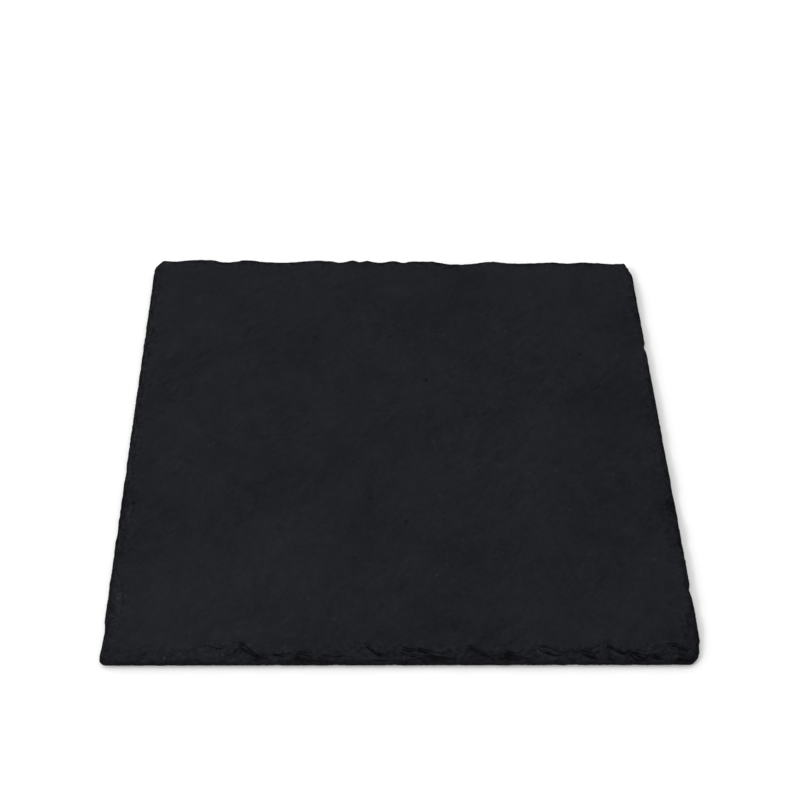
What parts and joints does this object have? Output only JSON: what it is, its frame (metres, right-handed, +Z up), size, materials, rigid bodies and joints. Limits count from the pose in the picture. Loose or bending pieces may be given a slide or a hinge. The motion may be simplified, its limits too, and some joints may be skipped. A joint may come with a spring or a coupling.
{
  "type": "slate slab",
  "caption": "Thin square slab of dark riven slate with hand-chipped edges on small stick-on pads, a hard flat work surface.",
  "frame": {"origin": "the middle of the slab's outline, on the surface its pads stand on", "axes": "+Z up out of the work face; +X and +Y along the square's sides, with the front edge, the one with the longest flakes, facing -Y"},
  "size_m": [0.3, 0.3, 0.0077],
  "materials": {
    "slate": "natural riven cleavage, dry matt, almost black with a cool grey cast",
    "rubber_pad": "soft solid rubber, matt black",
    "adhesive_film": "milky double-sided acrylic film"
  },
  "bodies": {
    "root": {"slate_slab": "slate", "foot_pad_front_left": "rubber_pad", "adhesive_disc_front_left": "adhesive_film", "foot_pad_front_right": "rubber_pad", "adhesive_disc_front_right": "adhesive_film", "foot_pad_rear_left": "rubber_pad", "adhesive_disc_rear_left": "adhesive_film", "foot_pad_rear_right": "rubber_pad", "adhesive_disc_rear_right": "adhesive_film"}
  },
  "joints": []
}
